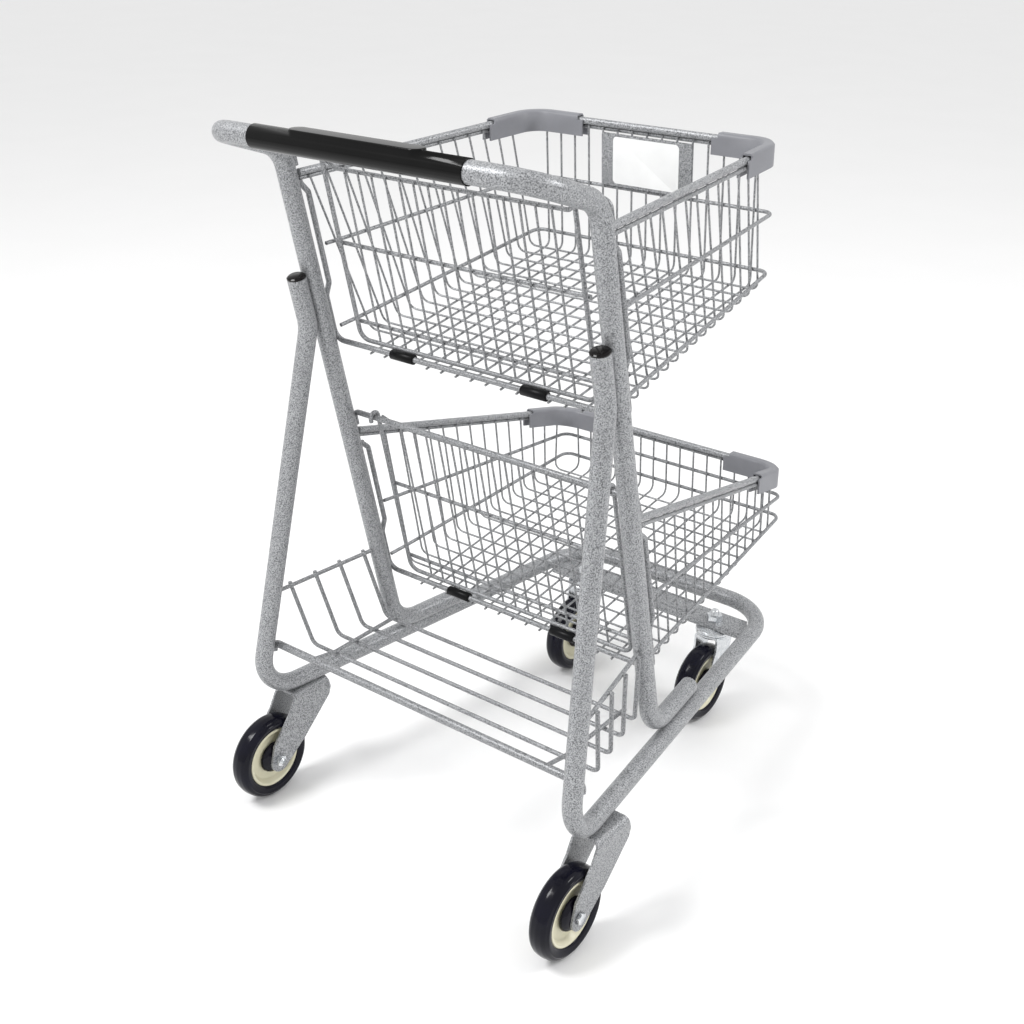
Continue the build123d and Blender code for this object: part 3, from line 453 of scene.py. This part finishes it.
def runnerLine(b, x):
    # one wire: along the floor from the rear rod and up the front wall
    startY = barY(b) - basketWire["nub"]
    near = min(abs(x - sleeve) for sleeve in b["sleeves"])
    if near < (sleeveOnRod["length"] + basketWire["diameter"]) / 2 + basketWire["clear"]:
        startY = barY(b) + sleeveOnRod["diameter"] / 2 + butt
    footZ = longFloorZ(b, b["frontY"])
    for _ in range(4):
        footZ = longFloorZ(b, frontWallY(b, footZ))
    topZ = wireTopZ(b, b["frontY"])
    topY = frontWallY(b, topZ) - cornerPull(b, wallX(b, b["frontY"], topZ) - abs(x))
    return [((x, startY, longFloorZ(b, startY)), 0), ((x, frontWallY(b, footZ), footZ), basketWire["bend"]),
            ((x, topY, topZ), 0)]


def rearRodLine(b):
    touch = tubeR + rearRod["diameter"] / 2 + weld
    x = uprightX(b["barZ"])
    top, outZ, inZ, back = b["rodSteps"]
    end = top + rearRod["tail"]
    step = rearRod["stepBend"]
    half = [((x, uprightY(end, touch), end), 0), ((x, uprightY(top, touch), top), rearRod["tailBend"]),
            ((x, uprightY(outZ, rearRod["ahead"]), outZ), step),
            ((x, uprightY(inZ, rearRod["ahead"]), inZ), step),
            ((x, uprightY(back, touch), back), step), ((x, barY(b), b["barZ"]), rearRod["bend"])]
    return bothSides(half)


def hingeRodLine(b):
    ahead = tubeR + hingeRod["diameter"] / 2 + weld
    x = uprightX(b["hingeZ"])
    return bothSides([((x, uprightY(b["hingeEndZ"], ahead), b["hingeEndZ"]), 0),
                      ((x, uprightY(b["hingeZ"], ahead), b["hingeZ"]), hingeRod["bend"])])


def buildBasket(b):
    tier = b["name"]
    rim = bothSides(rimHalfLine(b, 0, rimRod["outside"], b["rimBend"], rimRod["diameter"]))
    grown = b["rimBend"] + underOut() - rimRod["outside"]
    under = bothSides(rimHalfLine(b, underRod["drop"], underOut(), grown, rimRod["diameter"]))
    bentRods(tier + "RimRod", [rim], rimRod, "frame", [tier + "_rim"])
    bentRods(tier + "UnderRod", [under], underRod, "frame", [tier + "_rim"])
    bands = [bandLine(b, rear, front) for rear, front in b["bands"]]
    bentRods(tier + "Bands", bands, bandWire, "frame", [tier + "_band_wires"])
    hoops = [hoopLine(b, k) for k in range(b["sideCount"])]
    bentRods(tier + "Hoops", hoops, basketWire, "frame", [tier + "_side_wires", tier + "_floor_cross_wires"])
    each = basketWire["frontEachSide"]
    runners = [runnerLine(b, k * basketWire["frontPitch"]) for k in range(-each, each + 1)]
    runnerNodes = [tier + "_front_wires", tier + "_floor_long_wires"]
    bentRods(tier + "Runners", runners, basketWire, "frame", runnerNodes)
    bentRods(tier + "RearRod", [rearRodLine(b)], rearRod, "frame", [tier + "_rear_rod"])
    bentRods(tier + "HingeRod", [hingeRodLine(b)], hingeRod, "frame", [tier + "_hinge_rod"])
    print(tier, "basket woven:", len(hoops) + len(runners), "wires")


buildBasket(upperBasket)
buildBasket(lowerBasket)


gateOuter = {"diameter": 6.0, "sides": 14, "bendSteps": 8, "slot": "wire_coat", "bend": 15.0,
             "hookTail": 4.0, "hookGap": 0.35, "restGap": 0.3}
gateBar = {"diameter": 5.5, "sides": 14, "bendSteps": 5, "slot": "wire_coat", "tipRise": 9.0,
           "tipInset": 1.0, "tipBend": 8}
gateUpright = {"diameter": 3.0, "sides": 8, "bendSteps": 2, "slot": "wire_coat", "pitch": 22.6, "eachSide": 7}


def gateShape(b):
    off = hingeRod["diameter"] / 2 + gateOuter["hookGap"] + gateOuter["diameter"] / 2
    pivotY = uprightY(b["hingeZ"], tubeR + hingeRod["diameter"] / 2 + weld)
    away = (sleeveOnRod["diameter"] + gateOuter["diameter"]) / 2 + gateOuter["restGap"]
    dy = barY(b) + math.sqrt(away ** 2 - b["restAbove"] ** 2) - pivotY
    dz = b["barZ"] + b["restAbove"] - b["hingeZ"]
    reach = math.hypot(dy, dz)
    lean = math.atan2(dy, -dz) - math.asin(off / reach)
    return {"off": off, "pivotY": pivotY, "lean": lean, "length": math.sqrt(reach ** 2 - off ** 2),
            "barAhead": off + (gateOuter["diameter"] + gateBar["diameter"]) / 2 + weld}


def gatePoint(b, g, x, down, ahead):
    return (x + b["gateShift"], g["pivotY"] + down * math.sin(g["lean"]) + ahead * math.cos(g["lean"]),
            b["hingeZ"] - down * math.cos(g["lean"]) + ahead * math.sin(g["lean"]))


def gateDown(b, g, z, ahead):
    return (b["hingeZ"] + ahead * math.sin(g["lean"]) - z) / math.cos(g["lean"])


def gateSymmetric(b, g, half):
    whole = list(half) + [((-p[0], p[1], p[2]), r) for p, r in reversed(half)]
    return [(gatePoint(b, g, *p), r) for p, r in whole]


def buildGate(b):
    g = gateShape(b)
    half = b["gateHalf"]
    off = g["off"]
    outer = gateSymmetric(b, g, [((half, gateOuter["hookTail"], -off), 0), ((half, -off, -off), off - 0.01),
                                 ((half, -off, off), off - 0.01),
                                 ((half, g["length"], off), gateOuter["bend"])])
    body = b["name"] + "_gate"
    node = b["name"] + "_gate_frame"
    bentRods(b["name"] + "GateOuter", [outer], gateOuter, body, [node])
    bars = []
    for z in b["gateBars"][1:]:
        down = gateDown(b, g, z, g["barAhead"])
        bars.append(gateSymmetric(b, g, [((half + gateOuter["diameter"] / 2, down, g["barAhead"]), 0)]))
    down = gateDown(b, g, b["gateBars"][0], g["barAhead"])
    tip = (half - gateBar["tipInset"], down - gateBar["tipRise"], g["barAhead"])
    bars.append(gateSymmetric(b, g, [(tip, 0), ((b["gateReach"], down, g["barAhead"]), gateBar["tipBend"])]))
    bentRods(b["name"] + "GateBars", bars, gateBar, body, [node])
    ahead = g["barAhead"] - (gateBar["diameter"] + gateUpright["diameter"]) / 2 - weld
    top = down - gateBar["diameter"] / 2 - 1
    end = g["length"] - gateOuter["diameter"] / 2 - weld
    wires = []
    for k in range(-gateUpright["eachSide"], gateUpright["eachSide"] + 1):
        x = k * gateUpright["pitch"]
        wires.append([(gatePoint(b, g, x, top, ahead), 0), (gatePoint(b, g, x, end, ahead), 0)])
    bentRods(b["name"] + "GateUprights", wires, gateUpright, body, [b["name"] + "_gate_uprights"])


buildGate(upperBasket)
buildGate(lowerBasket)
print("gates hung")


trayBar = {"diameter": 11.0, "sides": 22, "bendSteps": 8, "slot": "wire_coat", "z": 240.7, "endZ": 229.0,
           "bend": 9.0}
trayWire = {"diameter": 6.0, "sides": 14, "bendSteps": 6, "slot": "wire_coat", "z": 217.0, "bend": 11.0,
            "firstY": 88.0, "pitch": 41.5, "count": 4, "half": 252.8, "narrowing": 9.4,
            "railZ": 322.0, "railRise": 9.0, "hoopLean": 24.6, "hoopOver": 2.0, "longX": 205.0, "riseY": 84.0,
            "riseBend": 20, "pastBar": 4.6, "intoBar": 0.3}


def legTilt():
    t = tubeFrame
    return math.atan2(legPoint(t["kneeZ"])[1] - t["rearBendY"], t["kneeZ"] - t["railZ"])


def trayRailPoint(y=None, end=None):
    start = legPoint(trayWire["railZ"])
    startY = start[1] + tubeR / math.cos(legTilt()) + butt + trayWire["diameter"] / 2 * math.tan(legTilt())
    endZ = trayWire["railZ"] + trayWire["railRise"]
    endY = uprightY(endZ, -tubeR) - butt - trayWire["diameter"] / 2 * tubeFrame["rake"]
    if end is not None:
        y = (startY, endY)[end]
    share = (y - startY) / (endY - startY)
    return start[0] + share * (uprightX(endZ) - start[0]), y, trayWire["railZ"] + share * trayWire["railRise"]


def buildTray():
    w = trayWire
    ahead = (tubeR + trayBar["diameter"] / 2 + weld) / math.cos(legTilt())
    low = legPoint(trayBar["endZ"])
    top = legPoint(trayBar["z"])
    bar = bothSides([((low[0], low[1] + ahead, low[2]), 0),
                     ((top[0], top[1] + ahead, top[2]), trayBar["bend"])])
    bentRods("trayBar", [bar], trayBar, "frame", ["tray_rear_bar"])
    hoops = []
    for k in range(w["count"]):
        foot = (w["half"] - w["narrowing"] * k, w["firstY"] + w["pitch"] * k, w["z"])
        rail = trayRailPoint(foot[1] - w["hoopLean"])
        tip = (rail[0] + w["diameter"] + butt, rail[1], rail[2] + w["hoopOver"])
        hoops.append(bothSides([(tip, 0), (foot, w["bend"])]))
    bentRods("trayHoops", hoops, w, "frame", ["tray_hoops", "tray_floor_wires"])
    rail = [(trayRailPoint(end=0), 0), (trayRailPoint(end=1), 0)]
    bentRods("trayRails", [rail, mirroredLine(rail)], w, "frame", ["tray_side_rails"])
    z = w["z"] + w["diameter"] + weld
    rearZ = top[2] - trayBar["diameter"] / 2 - w["diameter"] / 2 + w["intoBar"]
    frontY = w["firstY"] + w["pitch"] * (w["count"] - 1) + w["diameter"]
    line = [((w["longX"], top[1] + ahead + w["pastBar"], rearZ), 0),
            ((w["longX"], w["riseY"], z), w["riseBend"]),
            ((w["longX"], frontY, z), 0)]
    bentRods("trayLongWires", [line, mirroredLine(line)], w, "frame", ["tray_long_wires"])


buildTray()
print("tray fitted")


wheel = {"radius": 63.5, "width": 31.0, "seat": 45.0, "hub": 11.0, "hubWidth": 29.0, "bolt": 9.5,
         "bore": 0.05, "forkWidth": 40.8, "plate": 3.0, "guard": 24.0, "segments": 96}


def turnedMesh(name, profile, segments):
    # profile of (radius, offset) corners turned about the x axis, closed on itself
    mesh = bpy.data.meshes.new(name)
    bm = bmesh.new()
    rings = []
    for k in range(segments):
        a = 2 * math.pi * k / segments
        rings.append([bm.verts.new((off * mm, r * mm * math.cos(a), r * mm * math.sin(a)))
                      for r, off in profile])
    count = len(profile)
    for k in range(segments):
        here = rings[k]
        there = rings[(k + 1) % segments]
        for i in range(count):
            j = (i + 1) % count
            bm.faces.new((here[i], here[j], there[j], there[i]))
    bmesh.ops.recalc_face_normals(bm, faces=bm.faces)
    bm.to_mesh(mesh)
    bm.free()
    return mesh


def softened(profile, size, steps=3):
    # rounds every corner of a closed profile by up to `size`
    soft = []
    count = len(profile)
    for i in range(count):
        before = Vector(profile[i - 1])
        corner = Vector(profile[i])
        after = Vector(profile[(i + 1) % count])
        reach = min(size, (before - corner).length * 0.45, (after - corner).length * 0.45)
        a = corner + (before - corner).normalized() * reach
        c = corner + (after - corner).normalized() * reach
        for s in range(steps + 1):
            t = s / steps
            soft.append(tuple(a * (1 - t) ** 2 + corner * 2 * t * (1 - t) + c * t ** 2))
    return soft


def tyreProfile():
    half = wheel["width"] / 2
    seat = wheel["seat"]
    r = wheel["radius"]
    side = [(seat + weld, half - 3.5), (seat + 3.5, half - 1.2), (seat + 8, half), (seat + 10.5, half),
            (seat + 11.5, half - 1.3), (r - 3.2, half - 3.4), (r - 0.9, half - 7.5), (r, 0.9)]
    return side + [(radius, -off) for radius, off in reversed(side)]


def centreProfile():
    bore = wheel["bolt"] / 2 + wheel["bore"]
    half = wheel["width"] / 2 - 3.5
    hub = wheel["hubWidth"] / 2
    seat = wheel["seat"]
    side = [(bore, hub), (wheel["hub"], hub), (wheel["hub"] + 1, 5), (seat - 9, 3.5),
            (seat - 4, half), (seat, half)]
    return side + [(radius, -off) for radius, off in reversed(side)]


def guardProfile(side):
    back = wheel["forkWidth"] / 2 - wheel["plate"] - weld
    bore = wheel["bolt"] / 2 + weld
    g = wheel["guard"]
    cup = [(bore, back), (12.5, back), (19, back - 2.6), (g - 1.4, back - 6),
           (g, back - 10), (g - 1.8, back - 10),
           (g - 3.2, back - 6.7), (18, back - 4.1), (12, back - 1.9), (bore, back - 1.9)]
    return [(radius, off * side) for radius, off in cup]


def atAxle(mesh, x, y):
    centre = place((x, y, wheel["radius"]))
    mesh.transform(Matrix.Translation(centre))
    return mesh


def joinMeshes(name, meshes):
    bm = bmesh.new()
    for mesh in meshes:
        bm.from_mesh(mesh)
        bpy.data.meshes.remove(mesh)
    whole = bpy.data.meshes.new(name)
    bm.to_mesh(whole)
    bm.free()
    return whole


def buildWheel(spot, x, y):
    body = spot + "_wheel"
    tyre = atAxle(turnedMesh(spot + "Tyre", softened(tyreProfile(), 1.2), wheel["segments"]), x, y)
    finishPiece(spot + "_tyre_moulding", tyre, body, "tyre_rubber", [spot + "_tyre"], 50)
    centre = atAxle(turnedMesh(spot + "Centre", softened(centreProfile(), 1.6), wheel["segments"]), x, y)
    finishPiece(spot + "_rim_disc", centre, body, "wheel_cream", [spot + "_wheel_centre"], 50)
    guards = []
    for side in (-1, 1):
        guards.append(atAxle(turnedMesh("guard", softened(guardProfile(side), 0.8), 64), x, y))
    return guards


wheelSpots = {
    "rear_left": (-269.6, 0.0, "frame"), "rear_right": (269.6, 0.0, "frame"),
    "front_left": (-125.0, 560.0, "front_left_swivel"), "front_right": (125.0, 560.0, "front_right_swivel"),
}
rearGuards = []
for spot, (x, y, guardBody) in wheelSpots.items():
    guards = buildWheel(spot, x, y)
    if guardBody == "frame":
        rearGuards += guards
    else:
        guardMesh = joinMeshes(spot + "Guards", guards)
        finishPiece(spot + "_hub_guards", guardMesh, guardBody, "guard_black", [spot + "_thread_guards"], 50)
rearGuardMesh = joinMeshes("rearGuards", rearGuards)
finishPiece("rear_hub_guards", rearGuardMesh, "frame", "guard_black", ["rear_thread_guards"], 50)
print("wheels turned")


def packedPiece(name, node, body, slotName, sharp=30):
    mesh = frame["nodes"][node].data.copy()
    bm = bmesh.new()
    bm.from_mesh(mesh)
    bmesh.ops.remove_doubles(bm, verts=bm.verts, dist=0.00001)
    bm.to_mesh(mesh)
    bm.free()
    return finishPiece(name, mesh, body, slotName, [node], sharp)


packedPieces = {
    "legCaps": ("leg_caps", "frame", "cap_black"),
    "pushGrip": ("handle_grip", "frame", "grip_black"),
    "frontPlate": ("front_panel", "frame", "frame_coat"),
    "plainLabel": ("panel_label", "frame", "label_white"),
    "casterPlate": ("caster_cross_plate", "frame", "frame_coat"),
    "stemNuts": ("caster_stem_nuts", "frame", "zinc"),
    "rearAxleBolts": ("rear_axle_bolts", "frame", "zinc"),
    "leftRearFork": ("left_rear_fork", "frame", "frame_coat"),
    "rightRearFork": ("right_rear_fork", "frame", "frame_coat"),
    "leftStem": ("left_caster_stem", "frame", "zinc"),
    "rightStem": ("right_caster_stem", "frame", "zinc"),
    "leftCasterFork": ("left_caster_fork", "front_left_swivel", "zinc"),
    "rightCasterFork": ("right_caster_fork", "front_right_swivel", "zinc"),
    "frontLeftBolt": ("front_left_axle_bolt", "front_left_swivel", "zinc"),
    "frontRightBolt": ("front_right_axle_bolt", "front_right_swivel", "zinc"),
    "upperSleeves": ("upper_gate_sleeves", "frame", "sleeve_black"),
    "lowerSleeves": ("lower_gate_sleeves", "frame", "sleeve_black"),
    "upperLeftBumper": ("upper_left_bumper", "frame", "bumper_grey"),
    "upperRightBumper": ("upper_right_bumper", "frame", "bumper_grey"),
    "lowerLeftBumper": ("lower_left_bumper", "frame", "bumper_grey"),
    "lowerRightBumper": ("lower_right_bumper", "frame", "bumper_grey"),
}
for pieceName, (node, body, slotName) in packedPieces.items():
    packedPiece(pieceName, node, body, slotName)
print("packed pieces finished:", len(packedPieces))


studio = {
    "cameraAt": (1057.8, -1101.8, 1267.8), "yaw": 38.35, "pitch": 25.66, "roll": 0.19, "lens": 48.88,
    "floor": (0.92, 0.92, 0.92), "world": 0.88,
}


def makeCamera():
    data = bpy.data.cameras.new("studioCamera")
    data.lens = studio["lens"]
    data.sensor_width = 36.0
    data.clip_end = 50.0
    camera = bpy.data.objects.new("studioCamera", data)
    bpy.context.scene.collection.objects.link(camera)
    yaw, pitch, roll = (math.radians(studio[k]) for k in ("yaw", "pitch", "roll"))
    ahead = Vector((-math.sin(yaw) * math.cos(pitch), math.cos(yaw) * math.cos(pitch), -math.sin(pitch)))
    right = Vector((math.cos(yaw), math.sin(yaw), 0))
    down = ahead.cross(right)
    across = right * math.cos(roll) + down * math.sin(roll)
    lower = down * math.cos(roll) - right * math.sin(roll)
    turn = Matrix((across, -lower, -ahead)).transposed()
    camera.matrix_world = Matrix.Translation(place(studio["cameraAt"])) @ turn.to_4x4()
    bpy.context.scene.camera = camera


def makeFloor():
    mesh = bpy.data.meshes.new("studioFloor")
    size = 30.0
    corners = [(-size, -size, 0), (size, -size, 0), (size, size, 0), (-size, size, 0)]
    mesh.from_pydata(corners, [], [(0, 1, 2, 3)])
    floor = bpy.data.objects.new("studioFloor", mesh)
    bpy.context.scene.collection.objects.link(floor)
    mat, tree, shader = newMaterial("paleFloor", {"Roughness": 0.7})
    cloud = objectNoise(tree, 3.0)
    shaded = [c * 0.99 for c in studio["floor"]]
    tone = ramp(tree, cloud.outputs["Fac"], [(0.3, shaded), (0.7, studio["floor"])])
    tree.links.new(tone.outputs["Color"], shader.inputs["Base Color"])
    mesh.materials.append(mat)


def makeLight(name, spot, target, size, power):
    data = bpy.data.lights.new(name, "AREA")
    data.shape = "SQUARE"
    data.size = size
    data.energy = power
    light = bpy.data.objects.new(name, data)
    bpy.context.scene.collection.objects.link(light)
    light.location = spot
    light.rotation_euler = (Vector(target) - Vector(spot)).to_track_quat("-Z", "Y").to_euler()


def makeWorld():
    world = bpy.data.worlds.new("studioWorld")
    world.use_nodes = True
    background = world.node_tree.nodes["Background"]
    background.inputs["Color"].default_value = (1.0, 1.0, 1.0, 1.0)
    background.inputs["Strength"].default_value = studio["world"]
    bpy.context.scene.world = world
    bpy.context.scene.view_settings.view_transform = "Standard"


makeCamera()
makeFloor()
makeLight("keyLight", (-1.2, -1.8, 3.2), (0, 0, 0.5), 1.1, 75)
makeLight("rimLight", (2.4, 1.4, 2.6), (0, 0, 0.5), 0.9, 40)
makeWorld()
print("studio lit")
